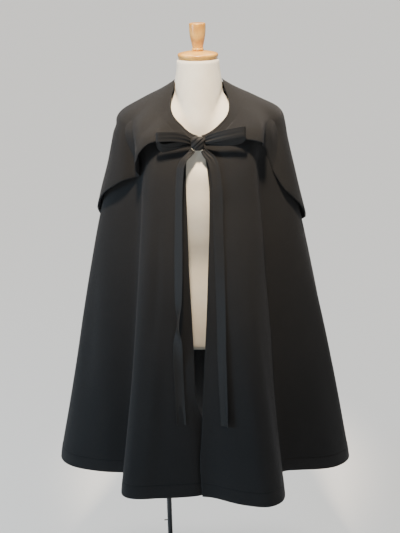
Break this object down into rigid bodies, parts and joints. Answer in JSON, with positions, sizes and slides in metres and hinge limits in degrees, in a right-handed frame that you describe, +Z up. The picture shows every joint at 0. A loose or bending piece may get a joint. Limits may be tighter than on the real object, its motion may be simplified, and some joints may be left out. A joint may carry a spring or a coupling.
{
  "type": "hooded cloak on dress form",
  "caption": "Knee-length flared cloak with a large dropped hood and a ribbon bow, open at the front, worn by a limbless dress form on a pole and round base.",
  "frame": {"origin": "middle of the base plate's underside, on the dress form's upright axis", "axes": "+Z up; the front faces -Y; +X towards the wearer's left"},
  "size_m": [0.8052, 0.5106, 1.5732],
  "materials": {
    "cloak_cloth": "smooth dense black wool twill",
    "tie_ribbon": "flat black ribbon, slightly smoother than the cloth",
    "form_cover": "pale ribbed cloth stretched over a padded trunk",
    "turned_wood": "turned and varnished",
    "stand_metal": "satin black paint"
  },
  "bodies": {
    "root": {"front_right": "cloak_cloth", "front_left": "cloak_cloth", "back": "cloak_cloth", "hood_right": "cloak_cloth", "hood_left": "cloak_cloth", "loop_right": "tie_ribbon", "loop_left": "tie_ribbon", "tie_knot": "tie_ribbon", "tail_right": "tie_ribbon", "tail_left": "tie_ribbon", "form_torso": "form_cover", "neck_cap": "turned_wood", "cap_knob": "turned_wood", "stand_pole": "stand_metal", "stand_pin": "stand_metal", "stand_socket": "stand_metal", "stand_boss": "stand_metal", "stand_base": "stand_metal"}
  },
  "joints": []
}
